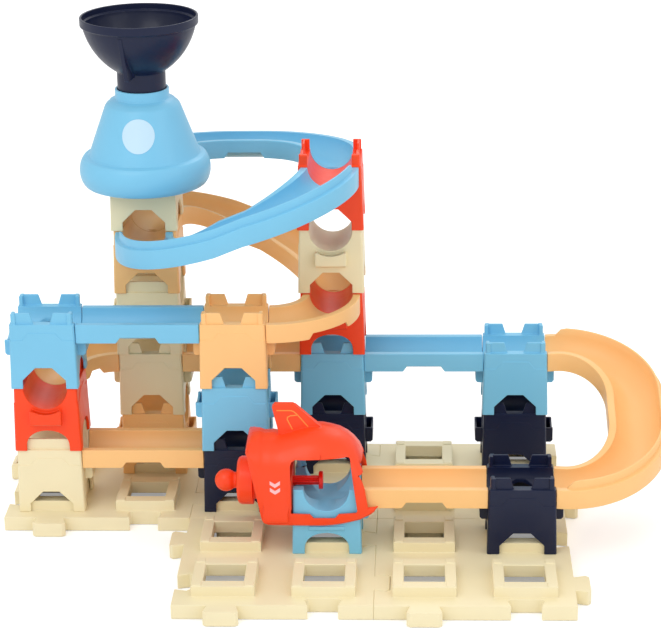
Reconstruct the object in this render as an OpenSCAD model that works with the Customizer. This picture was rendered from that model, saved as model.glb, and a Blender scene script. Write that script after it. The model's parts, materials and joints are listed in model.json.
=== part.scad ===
/* [Grid] */
// Distance between neighbouring tower centres
pitch = 90; // [84:1:100]
// Height of one tower level, shoulder to shoulder
level_h = 64.1; // [60:0.1:72]

/* [Base plates] */
// Height of a base plate
plate_h = 14; // [12:0.5:20]
// Height of the square stud that a tower's foot slips over
stud_h = 10; // [7:0.5:13]
// Length of a stud's window, left to right
window_l = 37; // [28:1:42]
// Width of a stud's window, front to back
window_w = 33; // [26:1:40]
// Reach of a puzzle tab beyond the plate's edge
tab_reach = 14; // [10:0.5:16]
// Width of a puzzle tab at its neck
tab_neck = 26; // [20:0.5:30]
// Width of a puzzle tab at its head
tab_head = 32; // [31:0.5:38]

/* [Tower blocks] */
// Width of a block across its feet
foot_w = 64.5; // [63.6:0.1:66]
// Width of a block across its shoulder
shoulder_w = 61.5; // [60.9:0.1:62]
// Wall thickness of blocks, plates and bell
wall = 2.6; // [2:0.1:3]
// Height of the corner posts above the shoulder
post_h = 10.8; // [9:0.1:13]
// Width of the notch in a closed side, at the shoulder
notch_w = 15.5; // [12:0.5:22]
// Width of the arch between two feet
arch_w = 41.2; // [38:0.1:44]
// Height of the arch between two feet
arch_h = 21; // [17:0.5:23]
// Radius of the round channel that the ball rolls in
channel_r = 21; // [19:0.25:21.5]
// Diameter of the hole that lets the ball drop a level
drop_d = 37; // [34:0.5:38]
// Reach of the hook pocket beyond the block's face
pocket_reach = 8; // [7:0.25:9]
// Width of the hook pocket
pocket_w = 30; // [26:0.5:33]
// Depth of the hook pocket's brim below the shoulder
pocket_top = 21; // [18:0.5:23]
// Depth of the hook pocket's foot below the shoulder
pocket_low = 36.2; // [34:0.2:39]

/* [Tracks] */
// Overall width of a track
track_w = 56; // [53:0.5:58]
// Height of a track's side skirt
skirt_h = 18.6; // [17:0.1:21]
// Wall thickness of a track
track_wall = 2.4; // [1.8:0.1:2.6]
// Drop of a track's rim below the block's shoulder
rim_drop = 1; // [0.5:0.1:2]
// Height of the cut-out in the middle of a skirt
cutout_h = 5.7; // [3:0.1:8]
// Length of the cut-out at its foot
cutout_l = 41; // [30:1:50]
// Height of the guard on the outer side of a slide
guard_h = 8; // [5:0.5:12]
// Radius of a slide's bends, front and back slides
slide_r = 77; // [60:1:85]
// Radius of the side slide's bends
side_slide_r = 86; // [65:1:88]
// Backward droop of the level top loop, per unit of reach
loop_droop = 0.09; // [0:0.01:0.1]

/* [Bell and funnel] */
// Largest radius of the bell's rim
bell_r = 63.5; // [60:0.5:66]
// Radius of the bell's shoulder, below its collar
bell_neck_r = 36.4; // [33:0.1:40]
// Height of the bell from its lip to its collar's top
bell_h = 94; // [88:0.5:100]
// Depth of the bell's lip below the top block's shoulder
bell_overlap = 23.5; // [20:0.5:26]
// Outer radius of the bell's collar
collar_r = 26; // [25.6:0.1:28]
// Diameter of the pale disc on the bell
badge_d = 31; // [20:1:36]
// Outer radius of the funnel's rim
funnel_r = 56.4; // [50:0.2:62]
// Outer radius of the funnel's neck
neck_r = 23.3; // [22.6:0.1:23.4]
// Height of the funnel from the collar's top to its rim
funnel_rise = 70; // [62:0.5:80]
// Wall thickness of the funnel
funnel_wall = 2.2; // [1.6:0.1:2.4]

/* [Launcher] */
// Outer width of the launcher's body, side to side
launcher_w = 71.5; // [71:0.1:76]
// Wall thickness of the launcher's body
launcher_wall = 2.8; // [2:0.1:3]
// Height of the roof's ridge above the base plate
roof_z = 119; // [114:0.5:126]
// Height above the base plate of the plunger's axis
rod_z = 60.5; // [56:0.5:62]
// Diameter of the plunger's rod
rod_d = 9; // [7:0.25:10]
// Diameter of the plunger's striker disc
striker_d = 16.8; // [12:0.2:18]
// Diameter of the pull knob
knob_d = 21; // [16:0.5:24]
// Travel of the plunger when it is pulled back
pull = 20; // [10:1:22]
// Radius of the round tail cap
tail_r = 22.6; // [20:0.1:26]
// Mean radius of the spring's coils
spring_r = 7.2; // [6.6:0.1:8]
// Diameter of the spring's wire
wire_d = 1.2; // [0.8:0.1:1.5]

/* [Hidden] */
$fn = 64;

cream = [0.95, 0.90, 0.75];
peach = [0.99, 0.77, 0.50];
sky = [0.50, 0.78, 0.93];
navy = [0.13, 0.15, 0.28];
coral = [1.00, 0.33, 0.16];
gap = 0.3;                       // clearance between pieces that only lie near each other
eps = 0.02;

// Where the towers stand: [column, row], row 0 in front
west_cell = [-2, 2];
tall_cell = [-1, 3];
inner_cell = [0, 2];
high_cell = [1, 3];
launch_cell = [1, 1];
corner_cell = [3, 1];
east_cell = [3, 3];

// The frame's origin: the middle of the whole set's footprint, on the ground
side_slide_reach = side_slide_r + track_w / 2;
back_slide_reach = slide_r + track_w / 2;
x_low = -2.5 * pitch - tab_reach;
x_high = 3 * pitch + track_end(0) + side_slide_reach;
y_low = -0.5 * pitch - tab_reach;
y_high = 3 * pitch + track_end(0) + back_slide_reach;
middle = [(x_low + x_high) / 2, (y_low + y_high) / 2];

// Half width of a block at a depth below its shoulder
function face_at(depth) = shoulder_w / 2 + (foot_w - shoulder_w) / 2 * depth / level_h;
// Distance from a tower's axis to the end of a track that hooks on it
function track_end(extra) = face_at(rim_drop + skirt_h) + gap + extra;

module at_cell(cell, level = 0) {
    translate([cell[0] * pitch - middle[0], cell[1] * pitch - middle[1], plate_h + level * level_h])
        children();
}

// ---------- Base plates ----------
plate_w = 2 * pitch;
plate_skin = 2.4;
stud_w = foot_w - 2 * wall - 2 * 1.1;     // slips inside a block's feet with 1.1 on each side
tab_clear = 0.35;

module tab_outline(grow) {
    n = tab_neck / 2 + grow;
    h = tab_head / 2 + grow;
    r = tab_reach + grow;
    corner = 3;
    polygon([[-n, 1], [-n, 0], [-h, -r + corner], [-h + corner, -r], [h - corner, -r],
             [h, -r + corner], [n, 0], [n, 1]]);
}

// Places of the tabs and sockets: one of each on every side, turned a quarter each time
module plate_tabs(grow) {
    for (side = [0:3])
        rotate(90 * side) translate([-pitch / 2, -pitch]) tab_outline(grow);
}
module plate_sockets(grow) {
    for (side = [0:3])
        rotate(90 * side) translate([pitch / 2, -pitch]) rotate(180) translate([0, 0])
            tab_outline(grow);
}

module plate_stud() {
    outer = stud_w;
    difference() {
        union() {
            translate([-outer / 2, -outer / 2, plate_h - eps]) cube([outer, outer, stud_h + eps]);
            for (sx = [-1, 1], sy = [-1, 1])
                translate([sx * (outer / 2 - 5) - 4, sy * (outer / 2 - 5) - 4, plate_h + stud_h - eps])
                    cube([8, 8, 0.8 + eps]);
        }
        translate([-outer / 2 + plate_skin, -outer / 2 + plate_skin, plate_h - plate_skin - 1])
            difference() {
                cube([outer - 2 * plate_skin, outer - 2 * plate_skin, stud_h + 1]);
                translate([(outer - window_l) / 2 - 2 * plate_skin,
                           (outer - window_w) / 2 - 2 * plate_skin, -1])
                    cube([window_l + 2 * plate_skin, window_w + 2 * plate_skin, stud_h + 3]);
            }
        translate([-window_l / 2, -window_w / 2, -1]) cube([window_l, window_w, plate_h + stud_h + 3]);
    }
}

module base_plate(corner) {
    translate([corner[0] * pitch - middle[0], corner[1] * pitch - middle[1], 0])
        translate([pitch / 2, pitch / 2, 0])
            difference() {
                union() {
                    difference() {
                        linear_extrude(plate_h) difference() {
                            union() {
                                square(plate_w, center = true);
                                plate_tabs(0);
                            }
                            plate_sockets(tab_clear);
                        }
                        translate([0, 0, -1]) linear_extrude(plate_h - plate_skin + 1) difference() {
                            union() {
                                square(plate_w - 2 * plate_skin, center = true);
                                plate_tabs(-plate_skin);
                            }
                            plate_sockets(tab_clear + plate_skin);
                        }
                    }
                    for (sx = [-1, 1], sy = [-1, 1])
                        translate([sx * pitch / 2, sy * pitch / 2, 0]) plate_stud();
                }
                for (sx = [-1, 1], sy = [-1, 1])
                    translate([sx * pitch / 2 - window_l / 2, sy * pitch / 2 - window_w / 2, -1])
                        cube([window_l, window_w, plate_h + stud_h + 3]);
            }
}

// ---------- Tower blocks ----------
deck_t = wall;
post_fit = 0.45;                  // the posts slip inside the next block's feet
post_w = foot_w / 2 - wall - post_fit;   // half width across the corner posts
merlon_w = post_w - 1.5;          // half width across the set-back walls between them
post_t = 3.7;
bay_half = channel_r + 3.5;        // half width of the bay between two corner posts
relief = 0.5;

module taper(w0, w1, h) {
    for_both = max(w0, w1) + 4;
    intersection() {
        rotate([90, 0, 0]) linear_extrude(for_both, center = true)
            polygon([[-w0 / 2, 0], [w0 / 2, 0], [w1 / 2, h], [-w1 / 2, h]]);
        rotate([90, 0, 90]) linear_extrude(for_both, center = true)
            polygon([[-w0 / 2, 0], [w0 / 2, 0], [w1 / 2, h], [-w1 / 2, h]]);
    }
}

// Turns its children to a side: 0 front, 1 right, 2 back, 3 left
module on_side(side) {
    rotate(90 * side) children();
}

module channel_run(r, reach) {
    translate([0, 0, level_h]) rotate([90, 0, 0]) cylinder(r = r, h = reach);
    translate([0, 0, level_h]) sphere(r = r);
}

module block_walls() {
    deck_in = level_h - deck_t;
    in_foot = foot_w - 2 * wall;
    in_deck = 2 * face_at(deck_t) - 2 * wall;
    difference() {
        taper(foot_w, shoulder_w, level_h);
        taper(in_foot, in_deck, deck_in);
        translate([-in_foot / 2, -in_foot / 2, -1]) cube([in_foot, in_foot, 1 + eps]);
    }
}

module block_posts(open, closed_band, front_posts) {
    difference() {
        translate([-post_w, -post_w, level_h - eps]) cube([2 * post_w, 2 * post_w, post_h + eps]);
        translate([-post_w + post_t, -post_w + post_t, level_h - 1])
            cube([2 * (post_w - post_t), 2 * (post_w - post_t), post_h + 2]);
        if (!front_posts) translate([-foot_w / 2, -foot_w / 2, level_h - 1])
            cube([foot_w, foot_w / 2 - 5, post_h + 3]);
        for (side = [0:3]) on_side(side) {
            if (open[side]) {
                translate([-bay_half, -post_w - 1, level_h - 1])
                    cube([2 * bay_half, post_t + 2, post_h + 3]);
            } else {
                translate([-bay_half, -post_w - 1, level_h - 1])
                    cube([2 * bay_half, post_w - merlon_w + 1, post_h + 3]);
                if (!closed_band) translate([0, -post_w + post_t + 1, level_h]) rotate([90, 0, 0])
                    linear_extrude(post_t + 3)
                        polygon([[-notch_w / 2, 0], [notch_w / 2, 0],
                                 [notch_w / 2 + 0.31 * (post_h + 1), post_h + 1],
                                 [-notch_w / 2 - 0.31 * (post_h + 1), post_h + 1]]);
            }
        }
    }
}

// The pocket below a channel's mouth, which a track's tongue drops into
module block_pocket() {
    face = face_at(0);
    scoop = shell_r + scoop_clear;
    lip = pocket_lip;
    floor_t = 1.8;
    translate([0, 0, level_h]) difference() {
        rotate([90, 0, 90]) translate([0, 0, -pocket_w / 2]) linear_extrude(pocket_w)
            polygon([[-face + 1, -pocket_top], [-face - pocket_reach, -pocket_top],
                     [-face - pocket_reach, -pocket_low + 2], [-face - pocket_reach + 2, -pocket_low],
                     [-face + 0.2, -pocket_low]]);
        translate([-pocket_w / 2 + lip, -face - pocket_reach + lip, -pocket_low + floor_t])
            cube([pocket_w - 2 * lip, pocket_reach - lip - 1.2, pocket_low]);
        rotate([90, 0, 0]) translate([0, 0, face_at(0) - 1.5])
            cylinder(r = scoop, h = pocket_reach + 4);
    }
}

module foot_arch(round_arch) {
    half = arch_w / 2;
    crown = 15.8 / 2;
    spring_z = 8.5;
    translate([0, 0, -1]) rotate([90, 0, 0]) linear_extrude(foot_w / 2 + 5)
        if (round_arch) polygon(concat([[half, -1], [half, 5]],
            [for (a = [10:10:170]) [half * cos(a), 5 + (arch_h - 4) * pow(sin(a), 0.8)]],
            [[-half, 5], [-half, -1]]));
        else polygon([[-half, -1], [-half, spring_z + 1], [-crown, arch_h + 1], [crown, arch_h + 1],
                      [half, spring_z + 1], [half, -1]]);
}

// The shallow set-back band below the shoulder of a closed face; it steps up over the middle
module face_panel() {
    lean = atan2((foot_w - shoulder_w) / 2, level_h);
    reach = face_at(0) + 3;
    translate([0, -face_at(0), level_h]) rotate([-lean, 0, 0]) rotate([90, 0, 0])
        translate([0, 0, -relief]) linear_extrude(relief + 3)
            polygon([[-reach, 3], [-reach, -15.6], [-18.8, -15.6], [-13, -8.2], [13, -8.2], [18.8, -15.6],
                     [reach, -15.6], [reach, 3]]);
}

// open lists the sides [front, right, back, left] that the channel runs out of
module block(open, drop = false, closed_band = false, round_arch = false, pockets = [1, 1, 1, 1],
             front_posts = true) {
    difference() {
        union() {
            difference() {
                union() {
                    block_walls();
                    intersection() {
                        taper(foot_w - 1, shoulder_w - 1, level_h);
                        union() {
                            for (side = [0:3]) if (open[side]) on_side(side)
                                channel_run(channel_r + wall, shoulder_w);
                        }
                    }
                }
                for (side = [0:3]) if (open[side]) on_side(side) channel_run(channel_r, foot_w);
                for (side = [0:3]) if (!open[side]) on_side(side) face_panel();
            }
            block_posts(open, closed_band, front_posts);
            for (side = [0:3]) if (open[side] && pockets[side]) on_side(side) block_pocket();
        }
        for (side = [0:3]) on_side(side) foot_arch(round_arch);
        if (drop) translate([0, 0, level_h - channel_r - wall - 2]) cylinder(d = drop_d, h = channel_r);
    }
}

along_x = [0, 1, 0, 1];
along_y = [1, 0, 1, 0];

module west_tower_block_1() { color(cream) at_cell(west_cell, 0) block(along_x, closed_band = true); }
module west_tower_block_2() { color(coral) at_cell(west_cell, 1) block(along_y, round_arch = true); }
module west_tower_block_3() { color(sky) at_cell(west_cell, 2) block(along_x, drop = true); }
module tall_tower_block_1() { color(peach) at_cell(tall_cell, 0) block(along_x); }
module tall_tower_block_2() { color(cream) at_cell(tall_cell, 1) block(along_x); }
module tall_tower_block_3() { color(cream) at_cell(tall_cell, 2) block(along_x, closed_band = true); }
module tall_tower_block_4() { color(peach) at_cell(tall_cell, 3) block(along_y); }
module tall_tower_block_5() { color(cream) at_cell(tall_cell, 4) block([0, 0, 1, 0]); }
module inner_tower_block_1() { color(navy) at_cell(inner_cell, 0) block(along_x); }
module inner_tower_block_2() { color(sky) at_cell(inner_cell, 1) block(along_x); }
module inner_tower_block_3() { color(peach) at_cell(inner_cell, 2) block(along_x); }
module high_tower_block_1() { color(navy) at_cell(high_cell, 0) block(along_x); }
module high_tower_block_2() { color(sky) at_cell(high_cell, 1) block(along_x); }
module high_tower_block_3() { color(coral) at_cell(high_cell, 2) block(along_y, round_arch = true); }
module high_tower_block_4() { color(cream) at_cell(high_cell, 3) block(along_y); }
module high_tower_block_5() { color(coral) at_cell(high_cell, 4) block(along_y); }
module launch_block() {
    ledge_w = 33;
    ledge_low = 24.4;
    ledge_h = 3.8;
    color(sky) at_cell(launch_cell) {
        block([1, 1, 1, 1], round_arch = true, pockets = [0, 1, 0, 0], front_posts = false);
        // the narrow ledge above the front arch, under the launcher's belly
        translate([-ledge_w / 2, -face_at(level_h - ledge_low) - 1.4, ledge_low])
            cube([ledge_w, 2.4, ledge_h]);
    }
}
module corner_block() { color(navy) at_cell(corner_cell) block(along_x, drop = true); }
module east_tower_block_1() { color(navy) at_cell(east_cell, 0) block(along_x); }
module east_tower_block_2() { color(sky) at_cell(east_cell, 1) block(along_x); }

// ---------- Tracks ----------
half_w = track_w / 2;
skirt_low = rim_drop + skirt_h;
shell_r = channel_r + track_wall;
cutout_slope = 4;
cutout_turn = 17;                // half the angle that a quarter turn's cut-out spans
scoop_clear = 1;                 // room under a slide that leaves its block on a slope
pocket_lip = 2.2;
tongue_w = pocket_w - 2 * pocket_lip - 3;
tongue_low = pocket_low - 3.6;

// Cross-section of a track; its origin is the channel's axis
module track_profile() {
    difference() {
        union() {
            translate([-half_w, -skirt_low]) square([track_w, skirt_h]);
            intersection() {
                circle(r = shell_r);
                translate([-half_w, -shell_r - 1]) square([track_w, shell_r]);
            }
        }
        circle(r = channel_r);
        difference() {
            translate([-half_w + track_wall, -shell_r - 5])
                square([track_w - 2 * track_wall, shell_r + 5 - rim_drop - track_wall]);
            circle(r = shell_r);
        }
    }
}

// The tongue under a track's end; the end's face is the plane y = 0, the track lies towards -y
module track_tongue() {
    back = 2.6;
    thick = 2.2;
    difference() {
        translate([-tongue_w / 2, -back - thick, -tongue_low]) cube([tongue_w, thick, tongue_low]);
        translate([0, 1, 0]) rotate([90, 0, 0]) cylinder(r = channel_r + track_wall / 2, h = 8);
    }
}

// A straight track along X between two towers, centred at the origin
module straight_track() {
    length = 2 * pitch - 2 * track_end(0);
    half_foot = cutout_l / 2;
    half_top = half_foot - cutout_slope;
    difference() {
        rotate([90, 0, 90]) translate([0, 0, -length / 2]) linear_extrude(length) track_profile();
        rotate([90, 0, 0]) translate([0, 0, -half_w - 1]) linear_extrude(track_w + 2)
            difference() {
                polygon([[-half_foot - 1, -skirt_low - 1], [-half_foot, -skirt_low],
                         [-half_top, -skirt_low + cutout_h], [half_top, -skirt_low + cutout_h],
                         [half_foot, -skirt_low], [half_foot + 1, -skirt_low - 1]]);
            }
    }
    difference() {
        intersection() {
            rotate([0, 90, 0]) cylinder(r = shell_r, h = length, center = true);
            translate([-half_foot - 2, -shell_r, -shell_r])
                cube([cutout_l + 4, 2 * shell_r, shell_r - rim_drop]);
        }
        rotate([0, 90, 0]) cylinder(r = channel_r, h = length + 1, center = true);
    }
    for (side = [0, 1]) rotate(180 * side) translate([length / 2, 0, 0]) rotate(-90) track_tongue();
}

module straight_between(cell_a, cell_b, level) {
    at_cell([(cell_a[0] + cell_b[0]) / 2, (cell_a[1] + cell_b[1]) / 2], level) straight_track();
}
module straight_track_west_low() {
    color(peach) straight_between(west_cell, inner_cell, 1);
}
module straight_track_west_high() {
    color(sky) straight_between(west_cell, inner_cell, 3);
}
module straight_track_middle() {
    color(peach) straight_between(tall_cell, high_cell, 2);
}
module straight_track_east() {
    color(sky) straight_between(high_cell, east_cell, 2);
}
module straight_track_launch() {
    color(peach) straight_between(launch_cell, corner_cell, 1);
}

// A cut-out through a quarter turn's skirt, across the middle of the bend
module quarter_cutout(from, to, half_foot) {
    half_top = half_foot - cutout_slope;
    rotate(45) translate([from, 0, 0]) rotate([90, 0, 90]) linear_extrude(to - from)
        polygon([[-half_foot - 1, -skirt_low - 1], [-half_foot, -skirt_low],
                 [-half_top, -skirt_low + cutout_h], [half_top, -skirt_low + cutout_h],
                 [half_foot, -skirt_low], [half_foot + 1, -skirt_low - 1]]);
}

// A quarter turn; it starts at [r, 0] heading +y and ends at [0, r] heading -x
module quarter_track() {
    r = pitch - track_end(0);
    outer = r + half_w;
    inner = r - half_w;
    difference() {
        rotate_extrude(angle = 90, $fn = 96) translate([r, 0]) track_profile();
        quarter_cutout(outer * cos(cutout_turn) - 4, outer + 2, outer * sin(cutout_turn));
        quarter_cutout(inner * cos(cutout_turn) - 2, inner + track_wall + 1.5, inner * sin(cutout_turn));
    }
    translate([r, 0, 0]) rotate(180) track_tongue();
    translate([0, r, 0]) rotate(90) track_tongue();
}
module quarter_track_front() {
    reach = track_end(0);
    color(peach) at_cell(inner_cell, 3) translate([reach, pitch - reach, 0])
        mirror([0, 1, 0]) quarter_track();
}
module quarter_track_back() {
    reach = track_end(0);
    color(peach) at_cell(tall_cell, 2) translate([-reach, -pitch + reach, 0]) rotate(90) quarter_track();
}

// ---------- Slides ----------
// A slide leaves one block, swings out in two equal bends and comes back to a block two cells away.
// Its plan starts at [pitch, 0], runs towards -y and ends at [-pitch, 0].
slide_steps = 10;
trough_steps = 10;
ease_pull = 1.4;                 // how far the fall keeps to the slide's middle

function plan_length(r) = PI * r + 2 * (pitch - r);
// Point, outward normal and share of the length, [x, y, nx, ny, s], along the plan
function plan(r, k) =
    let (bend = PI * r / 2, straight = 2 * (pitch - r), whole = plan_length(r))
    k <= slide_steps
        ? let (a = 90 * k / slide_steps)
          [pitch - r + r * cos(a), -r * sin(a), cos(a), -sin(a), bend * k / slide_steps / whole]
        : let (a = 90 + 90 * (k - slide_steps - 1) / slide_steps)
          [-(pitch - r) + r * cos(a), -r * sin(a), cos(a), -sin(a),
           (bend + straight + bend * (k - slide_steps - 1) / slide_steps) / whole];
// Share of the fall that is reached at a share s of the length
function fall(s) = (1 - ease_pull) * s + ease_pull * s * s * (3 - 2 * s);
// Height of the guard: none at the ends, whole after a short ramp
function guard(s) = let (e = min(s, 1 - s)) e < 0.08 ? 0 : e > 0.13 ? 1 : (e - 0.08) / 0.05;

// Cross-section points [out, up]: a wall that runs up the outer skirt, over the guard, round the
// trough and down the inner skirt, then back along its inside
function slide_section(g) =
    let (t = track_wall, a0 = asin(rim_drop / channel_r), a1 = asin((rim_drop + t) / shell_r))
    concat([[half_w, -skirt_low], [half_w, -rim_drop], [channel_r + t, -rim_drop],
            [channel_r + t, -rim_drop + 0.02 + g], [channel_r, -rim_drop + 0.02 + g]],
           [for (k = [0:trough_steps]) let (a = -a0 - (180 - 2 * a0) * k / trough_steps)
               [channel_r * cos(a), channel_r * sin(a)]],
           [[-half_w, -rim_drop], [-half_w, -skirt_low], [-half_w + t, -skirt_low],
            [-half_w + t, -rim_drop - t]],
           [for (k = [trough_steps:-1:0]) let (a = -a1 - (180 - 2 * a1) * k / trough_steps)
               [shell_r * cos(a), shell_r * sin(a)]],
           [[half_w - t, -rim_drop - t], [half_w - t, -skirt_low]]);

module slide(r, drop, droop = 0, guarded = true) {
    rings = 2 * slide_steps + 2;
    section_n = len(slide_section(0));
    points = [for (k = [0:rings - 1])
        let (p = plan(r, k), g = guarded ? guard_h * guard(p[4]) : 0)
        for (c = slide_section(g))
            let (x = p[0] + p[2] * c[0], y = p[1] + p[3] * c[0])
            [x, y, c[1] - drop * fall(p[4]) + droop * min(0, y)]];
    sides = [for (k = [0:rings - 2], j = [0:section_n - 1])
        let (a = k * section_n + j, b = k * section_n + (j + 1) % section_n)
        [a, a + section_n, b + section_n, b]];
    caps = [[for (j = [0:section_n - 1]) j], [for (j = [section_n - 1:-1:0]) (rings - 1) * section_n + j]];
    polyhedron(points, concat(sides, caps), convexity = 8);
}

// A slide with its two tongues; it falls by drop towards its -x end
module hooked_slide(r, drop, droop = 0, guarded = true) {
    slide(r, drop, droop, guarded);
    translate([pitch, 0, 0]) track_tongue();
    translate([-pitch, 0, -drop]) track_tongue();
}

module slide_side() {
    color(peach) at_cell([east_cell[0], (east_cell[1] + corner_cell[1]) / 2], 2)
        translate([track_end(0), 0, 0]) rotate(90) hooked_slide(side_slide_r, level_h);
}
module slide_top_loop() {
    color(sky) at_cell([(tall_cell[0] + high_cell[0]) / 2, tall_cell[1]], 5)
        translate([0, track_end(0), 0]) rotate(180) difference() {
            hooked_slide(slide_r, 0, loop_droop, guarded = false);
            translate([0, -slide_r + half_w + 1, -skirt_low - loop_droop * slide_r]) rotate([90, 0, 0])
                linear_extrude(5)
                    polygon([[-cutout_l / 2, -5], [-cutout_l / 2, 2],
                             [-cutout_l / 2 + cutout_slope, cutout_h + 3],
                             [cutout_l / 2 - cutout_slope, cutout_h + 3], [cutout_l / 2, 2],
                             [cutout_l / 2, -5]]);
        }
}
module slide_front() {
    color(sky) at_cell([(tall_cell[0] + high_cell[0]) / 2, tall_cell[1]], 5)
        translate([0, -track_end(0), 0]) hooked_slide(slide_r, level_h);
}
module slide_back() {
    color(peach) at_cell([(tall_cell[0] + high_cell[0]) / 2, tall_cell[1]], 4)
        translate([0, track_end(0), 0]) rotate(180) hooked_slide(slide_r, level_h);
}

// ---------- Bell and funnel ----------
bell_low = -bell_overlap;                 // heights here are above the top block's shoulder
bell_top = bell_low + bell_h;
lip_low_r = bell_r - 8.5;
cone_low_r = bell_r - 9.5;
lip_mid = bell_low + 14;
lip_top = bell_low + 29;
ring_low = bell_top - 17;
collar_low = bell_top - 10;
neck_clear = 0.3;
collar_in = neck_r + neck_clear;
seat_z = bell_top - 12;                   // the ledge that the funnel's neck stands on

// Radius of the bell's outside at a height on its cone
function cone_r(z) = cone_low_r + (bell_neck_r - cone_low_r) * (z - lip_top) / (ring_low - lip_top);

// Half outline of the bell's outside, from the lip up, with inset moving it towards the axis
function bell_side(inset) = concat(
    [for (a = [-60:12:60]) [lip_low_r - 1 + (bell_r - lip_low_r + 1 - inset) * cos(a),
                             lip_mid + (lip_mid - bell_low - inset / 2) / sin(60) * sin(a)]],
    [[cone_low_r - inset, lip_top - inset / 4], [bell_neck_r - inset, ring_low - inset / 4]]);

module bell_wall() {
    outer = bell_side(0);
    inner = bell_side(wall);
    polygon(concat([[lip_low_r, bell_low]], outer,
        [[bell_neck_r - 1.6, ring_low + 2.4], [bell_neck_r - 3.4, ring_low + 3.6],
         [bell_neck_r - 5, collar_low - 1.4], [collar_r + 2, collar_low],
         [collar_r, collar_low + 0.6], [collar_r, bell_top], [collar_in, bell_top],
         [collar_in, seat_z], [channel_r - 0.5, seat_z], [channel_r - 0.5, seat_z - 3]],
        [for (k = [len(inner) - 1:-1:0]) inner[k]],
        [[lip_low_r, lip_mid - (lip_mid - bell_low - wall / 2)]]));
}

// The top loop's inner edge bends away from the door; this is where it crosses the bell's lip
loop_far = norm([slide_r, track_end(0)]);
loop_along = (pow(bell_r, 2) - pow(slide_r - half_w, 2) + pow(loop_far, 2)) / (2 * loop_far);
loop_across = sqrt(max(0, pow(bell_r, 2) - pow(loop_along, 2)));
loop_edge = (loop_along * slide_r - loop_across * track_end(0)) / loop_far;

module bell() {
    left = -half_w - 2.5;
    right = max(half_w + 2.5, loop_edge + 1.5);
    door_top = bell_overlap + 38.5;
    arch_rise = 12;
    shelf_from = channel_r + 1;
    color(sky) at_cell(tall_cell, 5) difference() {
        union() {
            rotate_extrude($fn = 96) bell_wall();
            intersection() {
                cylinder(r = cone_r(post_h + wall) - wall / 2, h = level_h);
                for (side = [0, 180]) rotate(side) translate([shelf_from, -bell_r, post_h])
                    cube([bell_r - shelf_from, 2 * bell_r, wall]);
            }
        }
        translate([0, bell_r + 5, bell_low]) rotate([90, 0, 0]) linear_extrude(bell_r + 5)
            polygon([[left, -1], [right, -1], [right, door_top], [right - 6, door_top + arch_rise - 3],
                     [right - 14, door_top + arch_rise], [left + 14, door_top + arch_rise],
                     [left + 6, door_top + arch_rise - 3], [left, door_top]]);
    }
}

// The plain disc on the bell's front, a thin round sheet bent to the cone
module bell_badge() {
    mid = (lip_top + ring_low) / 2 + 4;
    sheet = 0.4;
    color([0.76, 0.88, 0.95]) at_cell(tall_cell, 5) intersection() {
        rotate_extrude($fn = 96)
            polygon([for (e = [[-1, 0], [-1, 1], [1, 1], [1, 0]])
                [cone_r(mid + e[0] * badge_d) + e[1] * sheet, mid + e[0] * badge_d]]);
        translate([0, 0, mid]) rotate([90, 0, 0]) cylinder(d = badge_d, h = bell_r + 5);
    }
}

bowl_arc_r = funnel_r + 12.8;
bowl_arc_x = -13.6;
rim_z = bell_top + funnel_rise;
rim_h = 8.3;
neck_low = seat_z;
// Outer radius of the bowl at a depth below the rim band's foot
function bowl_r(z) = bowl_arc_x + sqrt(max(0, pow(bowl_arc_r, 2) - pow(rim_z - z + 5.5, 2)));
bowl_low = rim_z + 5.5 - sqrt(pow(bowl_arc_r, 2) - pow(neck_r - bowl_arc_x, 2));
bowl_flip = rim_z - rim_h;

function bowl_z(a) = rim_z + 5.5 - bowl_arc_r * cos(a);
bowl_a0 = asin((neck_r - bowl_arc_x) / bowl_arc_r);
bowl_a1 = acos((5.5 + rim_h) / bowl_arc_r);
bowl_n = 12;

module funnel_outline() {
    w = funnel_wall;
    band_r = funnel_r;
    in_r = band_r - 2.2;
    ledge_r = bowl_arc_x + bowl_arc_r * sin(bowl_a1) - w;
    polygon(concat(
        [[neck_r - w, neck_low], [neck_r, neck_low]],
        [for (k = [0:bowl_n]) let (a = bowl_a0 + (bowl_a1 - bowl_a0) * k / bowl_n)
            [bowl_arc_x + bowl_arc_r * sin(a), bowl_z(a)]],
        [[band_r - 0.4, bowl_flip], [band_r, bowl_flip + 1], [band_r, rim_z], [in_r, rim_z],
         [in_r, bowl_flip + w],
         [ledge_r, bowl_flip + w]],
        [for (k = [bowl_n:-1:0]) let (a = bowl_a0 + (bowl_a1 - bowl_a0) * k / bowl_n)
            [bowl_arc_x + (bowl_arc_r - w) * sin(a), rim_z + 5.5 - (bowl_arc_r - w) * cos(a)]]));
}

module funnel() {
    rib_turn = 13;
    rib_t = 4;
    rib_low = bowl_low - 2;
    rib_top = bowl_flip - 3;
    color(navy) at_cell(tall_cell, 5) {
        rotate_extrude($fn = 96) funnel_outline();
        for (side = [0, 180]) rotate(side - rib_turn) difference() {
            translate([rib_t / 2, 0, 0]) rotate([90, 0, -90]) linear_extrude(rib_t)
                polygon([[neck_r - 1, rib_low], [41, rib_low], [bowl_r(rib_top) + 1, rib_top],
                         [neck_r - 1, rib_top]]);
            rotate_extrude($fn = 96) polygon(concat(
                [[0, rib_low - 1], [neck_r - 1, rib_low - 1]],
                [for (k = [0:bowl_n]) let (a = bowl_a0 + (bowl_a1 - bowl_a0) * k / bowl_n)
                    [bowl_arc_x + (bowl_arc_r - 1) * sin(a), rim_z + 5.5 - (bowl_arc_r - 1) * cos(a)]],
                [[0, bowl_flip]]));
        }
    }
}

// ---------- Launcher ----------
// Lengths run along X from the launch tower's axis, heights from the base plate's top.
body_half = launcher_w / 2;
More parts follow.
